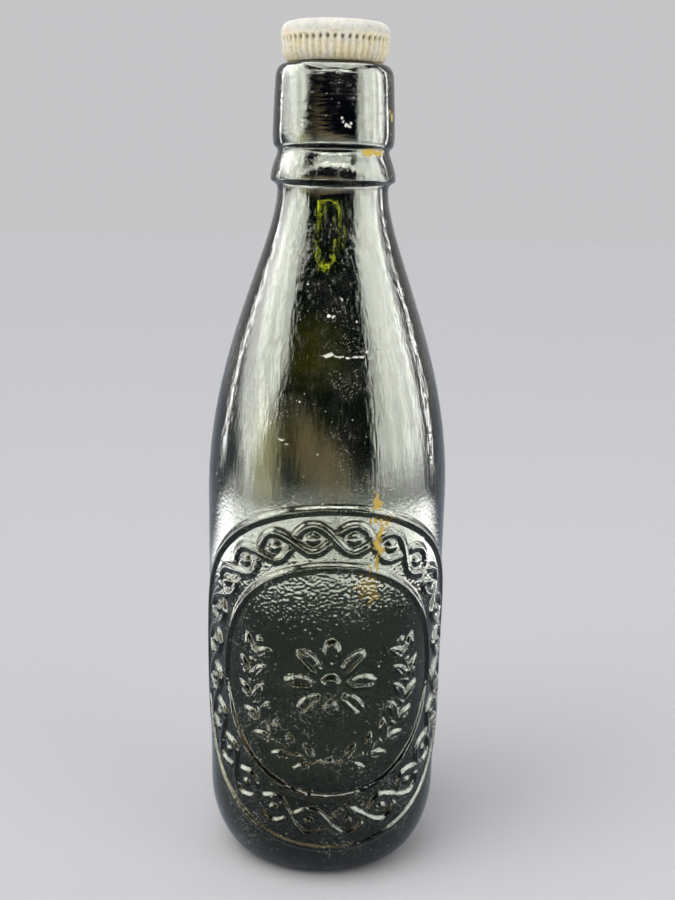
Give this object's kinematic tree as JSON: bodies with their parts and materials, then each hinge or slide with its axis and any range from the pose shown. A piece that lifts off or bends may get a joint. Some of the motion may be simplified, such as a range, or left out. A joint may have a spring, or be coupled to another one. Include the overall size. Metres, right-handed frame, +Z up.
{
  "type": "screw-stoppered glass beer bottle",
  "caption": "Dark glass beer bottle with raised rings on its front and a threaded mouth, closed by a fluted screw stopper with a rubber ring.",
  "frame": {"origin": "centre of the flat ring that the bottle stands on", "axes": "+Z up along the bottle's axis, -Y towards the front with the raised rings"},
  "size_m": [0.0748, 0.0751, 0.2592],
  "materials": {
    "bottle_glass": "gloss",
    "stopper_ebonite": "weathered",
    "ring_rubber": "matte"
  },
  "bodies": {
    "bottle": {"glass_bottle": "bottle_glass"},
    "ring": {"rubber_ring": "ring_rubber"},
    "stopper": {"screw_stopper": "stopper_ebonite"}
  },
  "joints": [
    {"name": "stopper_rise", "type": "slide", "parent": "bottle", "child": "ring", "axis": [0, 0, 1], "range_m": [0, 0.0445]},
    {"name": "stopper_turn", "type": "hinge", "parent": "ring", "child": "stopper", "pos_m": [0, 0, 0.2472], "axis": [0, 0, 1], "range_deg": [0, 2520]}
  ],
  "couplings": [
    {"joint": "stopper_rise", "follows": "stopper_turn", "m_per_rad": 0.0010106}
  ]
}
